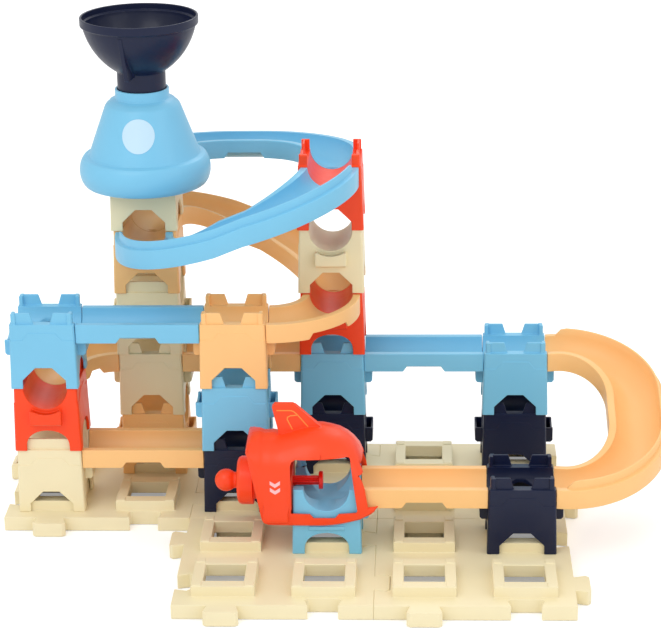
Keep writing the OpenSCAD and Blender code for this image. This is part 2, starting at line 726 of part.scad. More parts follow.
// the body's floor closes round the launch block, at whichever of its ends is wider
block_near = max(face_at(level_h - 30), face_at(0)) + 0.25;
tail_x = -73.6;
nose_x = 47.5;
belly_z = 30;
shoulder_fall = 34;
rod_clear = 0.3;

// Height of the roof's ridge, height of the belly, and half width, at a length x along the body
function ridge_at(x) = roof_z - lookup(x, [[tail_x, 16.5], [-72.6, 13.7], [-69, 10.6], [-63, 9],
    [-56.5, 11.2], [-51, 10.2], [-44.5, 11.4], [-38, 9.6], [-30, 6.8], [-22, 4.4], [-13, 2.9], [-4, 3.1],
    [4, 4.8], [12, 7.1], [19, 11.2], [25, 16.5], [30, 23.4], [33, 30.8], [35.5, 41.5], [38.5, 68],
    [nose_x, 69]]);
function belly_at(x) = belly_z + lookup(x, [[tail_x, 69], [-72.3, 66], [-67.3, 42], [-62.4, 19], [-61, 11],
    [-59.4, 4], [-57.5, 1.4], [-54, 0], [-20, -0.5], [0, -0.5], [15, 1.5], [30, 5.5], [40, 10], [44, 13],
    [nose_x, 18]]);
function half_at(x) = body_half - lookup(x, [[tail_x, 8], [-72.4, 5.6], [-69, 3], [-62, 0.9], [-50, 0.1],
    [-44, 0], [30, 0], [38, 0.8], [44, 1.6], [nose_x, 2.6]]);

// Cross-section at x, seen from the tail, as [x, y, z] points: belly, upright side, arched shoulder, ridge
arch_steps = 8;
function body_ring(x, inset) =
    let (low = inset > 0 ? max(belly_at(x) + inset, belly_at(x - inset), belly_at(x + inset)) : belly_at(x),
         high = max(low + 1, inset > 0 ? min(ridge_at(x) - inset, ridge_at(x + inset), ridge_at(x - inset))
                                       : ridge_at(x)),
         half = half_at(x) - inset, side = high - min(shoulder_fall, 0.5 * (high - low)),
         arch = [for (k = [0:arch_steps - 1]) let (a = 90 * k / arch_steps)
                     [half * pow(cos(a), 0.9), side + (high - side) * pow(sin(a), 0.95)]])
    concat([[x, 0, low], [x, half - 2, low], [x, half, low + min(2, 0.2 * (high - low))]],
           [for (q = arch) [x, q[0], q[1]]], [[x, 0, high]],
           [for (k = [arch_steps - 1:-1:0]) [x, -arch[k][0], arch[k][1]]],
           [[x, -half, low + min(2, 0.2 * (high - low))], [x, 2 - half, low]]);

module body_form(inset) {
    from = tail_x + (inset > 0 ? 2 * inset : 0);
    stations = concat([for (x = [from, -72.5, -71, -69, -66, -62.4, -61, -59.4, -57.5, -54, -50, -44.5, -38,
                                 -30, -22, -13, -4, 4, 12, 19, 25, 30, 33, 35.5]) if (x >= from) x],
                      inset > 0 ? [] : [38.5, 41, 44, nose_x]);
    rings = [for (x = stations) body_ring(x, inset)];
    n = len(rings[0]);
    sides = [for (k = [0:len(rings) - 2], j = [0:n - 1])
        [k * n + j, (k + 1) * n + j, (k + 1) * n + (j + 1) % n, k * n + (j + 1) % n]];
    polyhedron([for (r = rings) each r],
               concat(sides, [[for (j = [0:n - 1]) j], [for (j = [n - 1:-1:0]) (len(rings) - 1) * n + j]]),
               convexity = 6);
}

module window_outline() {
    polygon([[-32.4, 42], [-32.6, 89], [-31.4, 92.5], [-28, 94.6], [19, 96], [21.5, 95], [22.3, 93],
             [28.6, 45], [27.6, 42.8], [11.4, 41.6], [8, 37.4], [-11.5, 37.4], [-15, 41.4]]);
}

module body_fin() {
    translate([0, 3.4, 0]) rotate([90, 0, 0]) linear_extrude(6.8)
        polygon([[-44.5, roof_z - 16], [-44.5, roof_z - 8], [-50, roof_z + 16], [-47.5, roof_z + 18.8],
                 [-31, roof_z + 18.8], [-28, roof_z + 17.5], [-5, roof_z - 3.4], [-5, roof_z - 8]]);
}

screw_spots = [[-60, 90], [-46, 40], [-40, 92]];
screw_r = 1.5;
screw_near = 4 - body_half + launcher_wall;   // the screw holes end inside the near half
boss_r = 3.2;

module body_shell() {
    difference() {
        union() {
            body_form(0);
            body_fin();
        }
        difference() {
            body_form(launcher_wall);
            // the rear bulkhead seat stays open; bosses cross the hollow
            for (s = screw_spots) translate([s[0], 0, s[1]]) rotate([90, 0, 0])
                cylinder(r = boss_r, h = launcher_w, center = true);
        }
        // open mouth towards +X, under the roof's beak and above the chin
        translate([face_at(0) - 2, -block_near, belly_z - 5])
            cube([nose_x, 2 * block_near, 79 - belly_z + 5]);
        translate([12, -block_near + 9, 60]) cube([nose_x, 2 * block_near - 18, 27]);
        // room for the launch block
        translate([-block_near, -block_near, 0]) cube([2 * block_near, 2 * block_near, level_h + 2]);
        // windows on both sides
        translate([0, body_half + 1, 0]) rotate([90, 0, 0]) linear_extrude(launcher_w + 2) window_outline();
        // the tail cap and its neck go in here
        translate([tail_x - 20, 0, rod_z]) rotate([0, 90, 0])
            cylinder(r = tail_r + gap, h = tail_cap_x + gap - tail_x + 20);
        translate([tail_x - 5, 0, rod_z]) rotate([0, 90, 0]) cylinder(r = tail_neck_r + gap, h = 24);
        for (s = screw_spots) translate([s[0], screw_near, s[1]]) rotate([-90, 0, 0])
            cylinder(r = screw_r, h = launcher_w);
        for (s = screw_spots) translate([s[0], body_half - 6, s[1]]) rotate([-90, 0, 0])
            cylinder(r = screw_r + 1.4, h = 10);
    }
}

// The raised pad low on the body's near and far sides
module body_pad() {
    stand = 3.6;
    translate([-58, 1 - body_half, 0]) rotate([90, 0, 90]) linear_extrude(23)
        polygon([[0, 33.6], [-1 - stand, 35], [-1 - stand, 43], [0, 51.5]]);
}

module launcher_body_near() {
    color(coral) at_cell(launch_cell) {
        intersection() {
            body_shell();
            translate([-150, -100, -10]) cube([300, 100, 200]);
        }
        body_pad();
    }
}
module launcher_body_far() {
    color(coral) at_cell(launch_cell) {
        intersection() {
            body_shell();
            translate([-150, 0, -10]) cube([300, 100, 200]);
        }
        mirror([0, 1, 0]) body_pad();
    }
}

tail_cap_x = -68.5;
tail_cap_t = 15;
tail_round = 4;
tail_neck_r = tail_r - 5;
tail_neck_l = 12;
module launcher_tail_cap() {
    color(coral) at_cell(launch_cell) translate([tail_cap_x, 0, rod_z]) rotate([0, -90, 0]) difference() {
        rotate_extrude($fn = 96) polygon([[0, 0], [tail_r, 0], [tail_r, tail_cap_t - tail_round],
            [tail_r - 0.3 * tail_round, tail_cap_t - 0.3 * tail_round], [tail_r - tail_round, tail_cap_t],
            [0, tail_cap_t]]);
        translate([0, 0, -1]) cylinder(r = rod_d / 2 + rod_clear, h = tail_cap_t + 2);
    }
    // the neck that holds the cap in the body and leads the spring
    color(coral) at_cell(launch_cell) translate([tail_cap_x - 0.5, 0, rod_z]) rotate([0, 90, 0])
        rotate_extrude($fn = 96) translate([tail_neck_r - 3, 0]) square([3, tail_neck_l + 0.5]);
}

guide_t = 3;
guide_x = -block_near - guide_t - 0.1;
module launcher_guide() {
    half = body_half - launcher_wall - 0.3;
    color(coral) at_cell(launch_cell) difference() {
        translate([guide_x, -half, rod_z - 16]) cube([guide_t, 2 * half, 29]);
        translate([guide_x - 1, 0, rod_z]) rotate([0, 90, 0])
            cylinder(r = rod_d / 2 + rod_clear, h = guide_t + 2);
    }
}

module launcher_screws() {
    color("silver") at_cell(launch_cell)
        for (s = screw_spots) translate([s[0], body_half - 6, s[1]]) rotate([90, 0, 0]) {
            cylinder(r = screw_r, h = 36);
            translate([0, 0, -1.6]) cylinder(r = screw_r + 1.3, h = 1.6);
        }
}

striker_t = 4;
striker_spare = 3.9;                       // room left behind the striker when it is pulled back
striker_x = guide_x + guide_t + pull + striker_spare;
knob_x = tail_cap_x - tail_cap_t - knob_d / 2 - 0.5;
collar_t = 2.4;
collar_x = guide_x - gap - collar_t;
collar_disc_r = spring_r + 1.4;

module plunger_rod() {
    rib_t = 2.2;
    core_r = rod_d / 2 - 1.6;
    start = knob_x + knob_d / 2 - 3;
    run = striker_x - start;
    color([0.94, 0.12, 0.08]) at_cell(launch_cell) translate([start, 0, rod_z]) rotate([0, 90, 0]) {
        cylinder(r = core_r, h = run + 0.5);
        intersection() {
            cylinder(r = rod_d / 2, h = run + 0.5);
            union() {
                translate([-rib_t / 2, -rod_d, 0]) cube([rib_t, 2 * rod_d, run + 0.5]);
                translate([-rod_d, -rib_t / 2, 0]) cube([2 * rod_d, rib_t, run + 0.5]);
            }
        }
        translate([0, 0, run]) cylinder(d = striker_d, h = striker_t);
        translate([0, 0, collar_x - start]) cylinder(r = collar_disc_r, h = collar_t);
    }
}

module plunger_knob() {
    start = knob_x + knob_d / 2 - 3;
    color(coral) at_cell(launch_cell) translate([knob_x, 0, rod_z]) rotate([0, 90, 0]) difference() {
        union() {
            sphere(d = knob_d, $fn = 96);
            cylinder(d = knob_d * 0.72, h = knob_d / 2);
        }
        translate([0, 0, start - knob_x - 0.1]) cylinder(d = rod_d + 0.4, h = knob_d);
    }
}

// The spring, one unbroken tube from the tail's inner wall to the collar on the rod
spring_turns = 7;
spring_sides = 6;
spring_seg = 8;
spring_from = tail_cap_x + 0.1;
spring_to = collar_x - 0.1;
module plunger_spring() {
    steps = spring_turns * spring_seg;
    run = spring_to - spring_from - wire_d;
    points = [for (k = [0:steps])
        let (a = 360 * k / spring_seg, x = spring_from + wire_d / 2 + run * k / steps)
        for (j = [0:spring_sides - 1]) let (b = 360 * j / spring_sides, r = spring_r + wire_d / 2 * cos(b))
            [x + wire_d / 2 * sin(b), r * cos(a), r * sin(a)]];
    n = spring_sides;
    sides = [for (k = [0:steps - 1], j = [0:n - 1])
        [k * n + j, k * n + (j + 1) % n, (k + 1) * n + (j + 1) % n, (k + 1) * n + j]];
    caps = [[for (j = [n - 1:-1:0]) j], [for (j = [0:n - 1]) steps * n + j]];
    echo(spring_gap = run / spring_turns - wire_d);
    color("silver") at_cell(launch_cell) translate([0, 0, rod_z]) polyhedron(points, concat(sides, caps));
}

module base_plate_left() { color(cream) base_plate([-2, 2]); }
module base_plate_middle() { color(cream) base_plate([0, 2]); }
module base_plate_right() { color(cream) base_plate([2, 2]); }
module base_plate_front_left() { color(cream) base_plate([0, 0]); }
module base_plate_front_right() { color(cream) base_plate([2, 0]); }

base_plate_left();
base_plate_middle();
base_plate_right();
base_plate_front_left();
base_plate_front_right();
west_tower_block_1();
west_tower_block_2();
west_tower_block_3();
tall_tower_block_1();
tall_tower_block_2();
tall_tower_block_3();
tall_tower_block_4();
tall_tower_block_5();
inner_tower_block_1();
inner_tower_block_2();
inner_tower_block_3();
high_tower_block_1();
high_tower_block_2();
high_tower_block_3();
high_tower_block_4();
high_tower_block_5();
launch_block();
corner_block();
east_tower_block_1();
east_tower_block_2();
straight_track_west_low();
straight_track_west_high();
straight_track_middle();
straight_track_east();
straight_track_launch();
quarter_track_front();
quarter_track_back();
slide_side();
slide_top_loop();
slide_front();
slide_back();
bell();
bell_badge();
funnel();
launcher_body_near();
launcher_body_far();
launcher_tail_cap();
launcher_guide();
launcher_screws();
plunger_rod();
plunger_knob();
plunger_spring();
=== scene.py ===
"""Marble run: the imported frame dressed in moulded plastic.

Every moulded piece is its CAD node with the mould's radii rolled on. The slides are swept anew, the spring is
one wire, and the launcher's marks are thin raised prints.
"""
import json
import math

import bmesh
import bpy
from mathutils import Matrix, Vector, kdtree
from mathutils.bvhtree import BVHTree


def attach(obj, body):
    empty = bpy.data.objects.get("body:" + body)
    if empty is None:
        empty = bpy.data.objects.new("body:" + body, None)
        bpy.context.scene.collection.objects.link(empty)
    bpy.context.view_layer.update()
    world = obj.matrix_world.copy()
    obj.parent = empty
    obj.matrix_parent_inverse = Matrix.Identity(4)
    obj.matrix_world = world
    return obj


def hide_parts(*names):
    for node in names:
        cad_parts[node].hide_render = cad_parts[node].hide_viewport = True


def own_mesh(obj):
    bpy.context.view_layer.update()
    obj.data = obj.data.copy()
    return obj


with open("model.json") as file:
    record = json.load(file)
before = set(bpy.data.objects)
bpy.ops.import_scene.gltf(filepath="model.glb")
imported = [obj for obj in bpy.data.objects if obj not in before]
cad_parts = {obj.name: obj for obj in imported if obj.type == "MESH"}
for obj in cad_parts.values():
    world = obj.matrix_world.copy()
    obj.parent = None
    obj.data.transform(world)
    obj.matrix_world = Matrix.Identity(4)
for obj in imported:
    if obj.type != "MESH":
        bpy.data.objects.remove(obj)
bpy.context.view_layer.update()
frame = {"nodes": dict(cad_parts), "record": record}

MM = 0.001
NODE_BODY = {n: b for b, ns in frame["record"]["behaviour"]["bodies"].items() for n in ns}

# The set's grid: cell pitch, level height, and where column 0, row 0 lies in the row frame
PITCH = 90 * MM
LEVEL = 64.1 * MM
PLATE_TOP = 14 * MM
GRID_X = -88.254 * MM
GRID_Y = -173.754 * MM


def cell(column, row, level=0.0):
    """The point on a tower's axis at a level's shoulder."""
    return Vector((GRID_X + column * PITCH, GRID_Y + row * PITCH, PLATE_TOP + level * LEVEL))


# ---------------------------------------------------------------- camera, floor and light

# The view: focal length and picture width in pixels, the camera's turns in degrees, and its eye from the grid
FOCAL, PICTURE_WIDTH = 2236.66, 661
PITCH_DOWN, YAW, ROLL = 20.125, -2.452, -0.907
EYE = Vector((176.71, -1810.55, 921.21)) * MM
SENSOR = 36


def set_camera():
    data = bpy.data.cameras.new("camera")
    data.sensor_width = SENSOR
    data.lens = FOCAL / PICTURE_WIDTH * SENSOR
    data.clip_end = 20
    camera = bpy.data.objects.new("camera", data)
    bpy.context.collection.objects.link(camera)
    pitch, yaw, roll = math.radians(PITCH_DOWN), math.radians(YAW), math.radians(ROLL)
    forward = Vector((math.sin(yaw) * math.cos(pitch), math.cos(yaw) * math.cos(pitch),
                      -math.sin(pitch)))
    level_right = Vector((math.cos(yaw), -math.sin(yaw), 0))
    level_up = level_right.cross(forward)
    right = level_right * math.cos(roll) + level_up * math.sin(roll)
    up = right.cross(forward)
    turn = Matrix((right, up, -forward)).transposed().to_4x4()
    camera.matrix_world = Matrix.Translation(EYE + Vector((GRID_X, GRID_Y, PLATE_TOP))) @ turn
    bpy.context.scene.camera = camera


FLOOR_SIZE, FLOOR_DROP = 12, 0.4 * MM
FLOOR_LIFT = 0.3                      # how far the floor is lifted towards white, for the camera alone


def lay_floor():
    bpy.ops.mesh.primitive_plane_add(size=FLOOR_SIZE, location=(0, 0, -FLOOR_DROP))
    floor = bpy.context.active_object
    floor.name = "studio_floor"
    material = bpy.data.materials.new("studio_floor")
    material.use_nodes = True
    tree = material.node_tree
    shader = tree.nodes["Principled BSDF"]
    shader.inputs["Base Color"].default_value = (0.92, 0.92, 0.92, 1)
    shader.inputs["Roughness"].default_value = 0.9
    shader.inputs["Emission Color"].default_value = (1, 1, 1, 1)
    seen = tree.nodes.new("ShaderNodeLightPath")
    lift = tree.nodes.new("ShaderNodeMath")
    lift.operation = "MULTIPLY"
    lift.inputs[1].default_value = FLOOR_LIFT
    tree.links.new(seen.outputs["Is Camera Ray"], lift.inputs[0])
    tree.links.new(lift.outputs[0], shader.inputs["Emission Strength"])
    floor.data.materials.append(material)


def add_area(name, place, size, power, aim):
    data = bpy.data.lights.new(name, "AREA")
    data.shape = "SQUARE"
    data.size = size
    data.energy = power
    lamp = bpy.data.objects.new(name, data)
    bpy.context.collection.objects.link(lamp)
    lamp.location = place
    lamp.rotation_euler = (Vector(aim) - Vector(place)).to_track_quat("-Z", "Y").to_euler()


WORLD_LIGHT = 0.88
# Each lamp's place, size in metres, power in watts and the point it looks at
LAMPS = {"key": ((-0.9, -1.5, 2.0), 1.4, 13, (0, 0, 0.15)),
         "fill": ((1.7, -1.2, 1.3), 1.6, 6, (0, 0, 0.15)),
         "back": ((0.4, 1.8, 1.9), 1.4, 10, (0, 0, 0.2))}


def set_light():
    world = bpy.data.worlds.new("studio")
    bpy.context.scene.world = world
    world.use_nodes = True
    tree = world.node_tree
    plain = tree.nodes["Background"]
    plain.inputs["Color"].default_value = (1, 1, 1, 1)
    plain.inputs["Strength"].default_value = WORLD_LIGHT
    white = tree.nodes.new("ShaderNodeBackground")
    white.inputs["Strength"].default_value = 1
    rays = tree.nodes.new("ShaderNodeLightPath")
    either = tree.nodes.new("ShaderNodeMath")
    either.operation = "MAXIMUM"
    pick = tree.nodes.new("ShaderNodeMixShader")
    tree.links.new(rays.outputs["Is Camera Ray"], either.inputs[0])
    tree.links.new(rays.outputs["Is Glossy Ray"], either.inputs[1])
    tree.links.new(either.outputs[0], pick.inputs[0])
    tree.links.new(plain.outputs[0], pick.inputs[1])
    tree.links.new(white.outputs[0], pick.inputs[2])
    tree.links.new(pick.outputs[0], tree.nodes["World Output"].inputs["Surface"])
    for name, (place, size, power, aim) in LAMPS.items():
        add_area(name, place, size, power, aim)
    bpy.context.scene.view_settings.view_transform = "Standard"


# ---------------------------------------------------------------- plastics

def new_group(name, inputs, outputs):
    group = bpy.data.node_groups.new(name, "ShaderNodeTree")
    for label, kind, value in inputs:
        socket = group.interface.new_socket(label, in_out="INPUT", socket_type=kind)
        if value is not None:
            socket.default_value = value
    for label, kind in outputs:
        group.interface.new_socket(label, in_out="OUTPUT", socket_type=kind)
    return group, group.nodes.new("NodeGroupInput"), group.nodes.new("NodeGroupOutput")


def noise(tree, vector, scale, detail, rough=0.55):
    node = tree.nodes.new("ShaderNodeTexNoise")
    node.inputs["Scale"].default_value = scale
    node.inputs["Detail"].default_value = detail
    node.inputs["Roughness"].default_value = rough
    tree.links.new(vector, node.inputs["Vector"])
    return node.outputs["Fac"]


def calc(tree, operation, a, b, clamp=False):
    node = tree.nodes.new("ShaderNodeMath")
    node.operation = operation
    node.use_clamp = clamp
    for socket, value in zip(node.inputs, (a, b)):
        if isinstance(value, (int, float)):
            socket.default_value = value
        else:
            tree.links.new(value, socket)
    return node.outputs[0]


def remap(tree, value, low, high, out_low, out_high):
    node = tree.nodes.new("ShaderNodeMapRange")
    tree.links.new(value, node.inputs["Value"])
    for label, number in (("From Min", low), ("From Max", high), ("To Min", out_low), ("To Max", out_high)):
        node.inputs[label].default_value = number
    return node.outputs["Result"]


def make_tone_group():
    """Moulded colour: a slow drift in the pigment and a painted highlight that lightens convex edges, broken
    up by noise.
    """
    group, gin, gout = new_group("pigment_drift_and_edge_highlight",
                                 [("Vector", "NodeSocketVector", None), ("Pigment", "NodeSocketColor", None),
                                  ("Drift", "NodeSocketFloat", 0.05), ("Edge Highlight", "NodeSocketFloat", 0.12)],
                                 [("Color", "NodeSocketColor"), ("Highlit Edges", "NodeSocketFloat")])
    cloud = noise(group, gin.outputs["Vector"], 14, 3)
    swirl = noise(group, gin.outputs["Vector"], 55, 2)
    blend = calc(group, "ADD", calc(group, "MULTIPLY", cloud, 0.7), calc(group, "MULTIPLY", swirl, 0.3))
    signed = remap(group, blend, 0.35, 0.65, -1, 1)
    gain = calc(group, "ADD", 1, calc(group, "MULTIPLY", signed, gin.outputs["Drift"]))
    shade = group.nodes.new("ShaderNodeVectorMath")
    shade.operation = "SCALE"
    group.links.new(gin.outputs["Pigment"], shade.inputs[0])
    group.links.new(gain, shade.inputs["Scale"])
    # Painted highlight: convex edges found by Pointiness are lightened towards white
    point = group.nodes.new("ShaderNodeNewGeometry")
    edge = remap(group, point.outputs["Pointiness"], 0.56, 0.68, 0, 1)
    broken = remap(group, noise(group, gin.outputs["Vector"], 260, 2), 0.42, 0.62, 0.2, 1)
    highlit_edges = calc(group, "MULTIPLY", edge, broken, True)
    amount = calc(group, "MULTIPLY", highlit_edges, gin.outputs["Edge Highlight"], True)
    lighten = group.nodes.new("ShaderNodeMix")
    lighten.data_type = "RGBA"
    lighten.inputs["B"].default_value = (1, 1, 1, 1)
    group.links.new(amount, lighten.inputs["Factor"])
    group.links.new(shade.outputs[0], lighten.inputs["A"])
    group.links.new(lighten.outputs["Result"], gout.inputs["Color"])
    group.links.new(highlit_edges, gout.inputs["Highlit Edges"])
    return group


def make_grain_group():
    """Mould finish: fine grain, long flow ripples and play scratches, as one height and one roughness."""
    group, gin, gout = new_group("mould_grain",
                                 [("Vector", "NodeSocketVector", None),
                                  ("Base Roughness", "NodeSocketFloat", 0.3),
                                  ("Scratches", "NodeSocketFloat", 0.4)],
                                 [("Height", "NodeSocketFloat"), ("Roughness", "NodeSocketFloat")])
    fine = noise(group, gin.outputs["Vector"], 1400, 2)
    ripple = noise(group, gin.outputs["Vector"], 38, 1)
    stretch = group.nodes.new("ShaderNodeMapping")
    stretch.inputs["Scale"].default_value = (30, 240, 300)
    stretch.inputs["Rotation"].default_value = (0.4, 0.9, 0.3)
    group.links.new(gin.outputs["Vector"], stretch.inputs["Vector"])
    streak = remap(group, noise(group, stretch.outputs[0], 4, 3), 0.66, 0.72, 0, 1)
    patch = remap(group, noise(group, gin.outputs["Vector"], 22, 2), 0.45, 0.6, 0, 1)
    scratch = calc(group, "MULTIPLY", calc(group, "MULTIPLY", streak, patch), gin.outputs["Scratches"])
    height = calc(group, "ADD", calc(group, "MULTIPLY", fine, 0.25), calc(group, "MULTIPLY", ripple, 0.6))
    height = calc(group, "SUBTRACT", height, calc(group, "MULTIPLY", scratch, 0.35))
    group.links.new(height, gout.inputs["Height"])
    mottle = remap(group, noise(group, gin.outputs["Vector"], 90, 3), 0.3, 0.7, -0.05, 0.06)
    rough = calc(group, "ADD", calc(group, "ADD", gin.outputs["Base Roughness"], mottle),
                 calc(group, "MULTIPLY", scratch, 0.2), True)
    group.links.new(rough, gout.inputs["Roughness"])
    return group


tone_group = make_tone_group()
grain_group = make_grain_group()


def linear(red, green, blue):
    """A colour as seen on a screen, 0 to 255, in linear light."""
    return tuple(((c / 255 + 0.055) / 1.055) ** 2.4 if c > 10 else c / 255 / 12.92
                 for c in (red, green, blue))


def moulded_plastic(name, colour, roughness=0.36, drift=0.012, edge_highlight=0.03, scratches=0.03, coat=0.06,
                    bump=0.04):
    material = bpy.data.materials.new(name)
    material.use_nodes = True
    tree = material.node_tree
    shader = tree.nodes["Principled BSDF"]
    place = tree.nodes.new("ShaderNodeTexCoord").outputs["Object"]
    tone = tree.nodes.new("ShaderNodeGroup")
    tone.node_tree = tone_group
    tone.inputs["Pigment"].default_value = (*colour, 1)
    tone.inputs["Drift"].default_value = drift
    # Strength of the painted edge highlight
    tone.inputs["Edge Highlight"].default_value = edge_highlight
    grain = tree.nodes.new("ShaderNodeGroup")
    grain.node_tree = grain_group
    grain.inputs["Base Roughness"].default_value = roughness
    grain.inputs["Scratches"].default_value = scratches
    tree.links.new(place, tone.inputs["Vector"])
    tree.links.new(place, grain.inputs["Vector"])
    relief = tree.nodes.new("ShaderNodeBump")
    relief.inputs["Strength"].default_value = bump
    relief.inputs["Distance"].default_value = 0.0006
    tree.links.new(grain.outputs["Height"], relief.inputs["Height"])
    tree.links.new(tone.outputs["Color"], shader.inputs["Base Color"])
    tree.links.new(grain.outputs["Roughness"], shader.inputs["Roughness"])
    tree.links.new(relief.outputs["Normal"], shader.inputs["Normal"])
    shader.inputs["Coat Weight"].default_value = coat
    shader.inputs["Coat Roughness"].default_value = 0.16
    shader.inputs["Specular IOR Level"].default_value = 0.34
    return material


def steel(name, colour, roughness):
    material = bpy.data.materials.new(name)
    material.use_nodes = True
    tree = material.node_tree
    shader = tree.nodes["Principled BSDF"]
    place = tree.nodes.new("ShaderNodeTexCoord").outputs["Object"]
    shader.inputs["Base Color"].default_value = (*colour, 1)
    shader.inputs["Metallic"].default_value = 1
    grain = tree.nodes.new("ShaderNodeGroup")
    grain.node_tree = grain_group
    grain.inputs["Base Roughness"].default_value = roughness
    tree.links.new(place, grain.inputs["Vector"])
    tree.links.new(grain.outputs["Roughness"], shader.inputs["Roughness"])
    relief = tree.nodes.new("ShaderNodeBump")
    relief.inputs["Strength"].default_value = 0.1
    relief.inputs["Distance"].default_value = 0.0004
    tree.links.new(grain.outputs["Height"], relief.inputs["Height"])
    tree.links.new(relief.outputs["Normal"], shader.inputs["Normal"])
    return material


FINISH = {
    "cream_plastic": moulded_plastic("cream_plastic", linear(242, 229, 189), 0.4),
    "peach_plastic": moulded_plastic("peach_plastic", linear(252, 199, 132), 0.38),
    "sky_plastic": moulded_plastic("sky_plastic", linear(124, 196, 230), 0.36),
    "navy_plastic": moulded_plastic("navy_plastic", linear(15, 25, 56), 0.36, edge_highlight=0.02),
    "coral_plastic": moulded_plastic("coral_plastic", linear(252, 72, 26), 0.36),
    "red_plastic": moulded_plastic("red_plastic", linear(240, 32, 20), 0.3),
    "pale_sheet": moulded_plastic("pale_sheet", linear(196, 226, 244), 0.22, 0.02, 0.0, bump=0.03),
    "pink_ink": moulded_plastic("pink_ink", linear(255, 196, 200), 0.4, 0.01, 0.0, bump=0.03),
    "amber_ink": moulded_plastic("amber_ink", linear(255, 146, 62), 0.4, 0.01, 0.0, bump=0.03),
    "steel": steel("steel", (0.62, 0.62, 0.63), 0.3),
}
SLOT = {s["node"]: s["material_slot"] for s in frame["record"]["subparts"]}


# ---------------------------------------------------------------- working on meshes

def let_go():
    """Nothing selected, and out of edit mode."""
    if bpy.context.object and bpy.context.object.mode != "OBJECT":
        bpy.ops.object.mode_set(mode="OBJECT")
    bpy.ops.object.select_all(action="DESELECT")


def take(obj):
    let_go()
    bpy.context.view_layer.objects.active = obj
    obj.select_set(True)


def copy_of_node(node, name):
    """The CAD node's mesh as a piece of its own, merged, its flat faces made whole."""
    source = frame["nodes"][node]
    piece = bpy.data.objects.new(name, source.data.copy())
    bpy.context.collection.objects.link(piece)
    piece.data.materials.clear()
    take(piece)
    bpy.ops.object.mode_set(mode="EDIT")
    bpy.ops.mesh.select_all(action="SELECT")
    bpy.ops.mesh.remove_doubles(threshold=0.002 * MM)
    bpy.ops.mesh.tris_convert_to_quads(face_threshold=math.radians(0.6), shape_threshold=math.pi)
    bpy.ops.object.mode_set(mode="OBJECT")
    return piece


def settle_normals(piece, angle=38):
    """Smooth over curves and radii, true on the flats."""
    take(piece)
    bpy.ops.object.shade_smooth_by_angle(angle=math.radians(angle))
    weighted = piece.modifiers.new("flat_faces_lead", "WEIGHTED_NORMAL")
    weighted.mode = "FACE_AREA_WITH_ANGLE"
    weighted.weight = 60
    weighted.keep_sharp = True
    bpy.ops.object.modifier_apply(modifier=weighted.name)


SPOT_STEP, MOST_SPOTS = 0.9 * MM, 60   # how finely an edge is stepped along to look beside it
ALONGSIDE = 0.7                       # the least cosine between two edges that count as running together


def rooms_beside(edges, reach):
    """For each sharp edge, the distance to the next that runs beside it on a shared face, at most reach."""
    spots = []
    for number, edge in enumerate(edges):
        a, b = (v.co for v in edge.verts)
        steps = max(1, min(MOST_SPOTS, int((b - a).length / SPOT_STEP)))
        spots += [(a.lerp(b, (k + 0.5) / steps), number) for k in range(steps)]
    tree = kdtree.KDTree(len(spots))
    for index, (point, _) in enumerate(spots):
        tree.insert(point, index)
    tree.balance()
    runs = [(e.verts[1].co - e.verts[0].co).normalized() for e in edges]
    ends = [{v.index for v in e.verts} for e in edges]
    faces = [[f.normal for f in e.link_faces] for e in edges]
    rooms = [reach] * len(edges)
    for point, number in spots:
        for other_point, index, _ in tree.find_range(point, rooms[number]):
            other = spots[index][1]
            if other == number or ends[other] & ends[number]:
                continue
            if abs(runs[other].dot(runs[number])) < ALONGSIDE:
                continue
            off = other_point - point
            along = off.dot(runs[number])
            across = off - runs[number] * along
            aside = across.length
            if aside > max(0.05 * MM, abs(along)) \
                    and min(abs(across.dot(normal)) for normal in faces[number]) < 0.3 * aside:
                rooms[number] = min(rooms[number], aside)
    return rooms


def apply_bevel(piece, width, segments, even):
    take(piece)
    bevel = piece.modifiers.new("mould_radius", "BEVEL")
    bevel.width = width
    bevel.segments = segments
    bevel.limit_method = "WEIGHT"
    bevel.use_clamp_overlap = False
    bevel.loop_slide = not even
    bpy.ops.object.modifier_apply(modifier=bevel.name)


# A radius takes at most these shares of the room beside its edge and of the edge's own length
ROOM_SHARE, LENGTH_SHARE = 0.42, 1.2
ROOM_REACH = 2.6                      # how far to look beside an edge, in widths of the largest radius
EASE_ROUNDS, EASE = 5, 0.35


def roll_edges(piece, width, segments=2, angle=32, wide=None, even=True, crease=38):
    """Every sharp edge gets the small radius that the mould gives it, less where two run close together.
    wide(middle, run) may name a larger radius for an edge; a faceted form slides its radii along its facets.
    Where a radius overruns the form, the edges round about are eased and it is cut again."""
    mesh = bmesh.new()
    mesh.from_mesh(piece.data)
    mesh.verts.index_update()
    weight = mesh.edges.layers.float.new("bevel_weight_edge")
    sharp = [e for e in mesh.edges if e.is_manifold and e.calc_face_angle(0) > math.radians(angle)]
    wishes = []
    for edge in sharp:
        a, b = (v.co for v in edge.verts)
        wishes.append((wide and wide((a + b) / 2, (b - a).normalized())) or width)
    most = max(wishes, default=width)
    for edge, wish, room in zip(sharp, wishes, rooms_beside(sharp, ROOM_REACH * most)):
        edge[weight] = min(wish, ROOM_SHARE * room, LENGTH_SHARE * edge.calc_length()) / most
    form = BVHTree.FromBMesh(mesh)
    for _ in range(EASE_ROUNDS):
        mesh.to_mesh(piece.data)
        apply_bevel(piece, most, segments, even)
        overruns = [(v.co.copy(), form.find_nearest(v.co)[3]) for v in piece.data.vertices]
        overruns = [(spot, far) for spot, far in overruns if far > 0.5 * most + 0.1 * MM]
        if not overruns:
            break
        for edge in sharp:
            a, b = (v.co for v in edge.verts)
            for spot, far in overruns:
                share = max(0, min(1, (spot - a).dot(b - a) / max(1e-12, (b - a).length_squared)))
                if (a.lerp(b, share) - spot).length < far + 0.5 * MM:
                    edge[weight] *= EASE
                    break
    mesh.free()
    settle_normals(piece, crease)


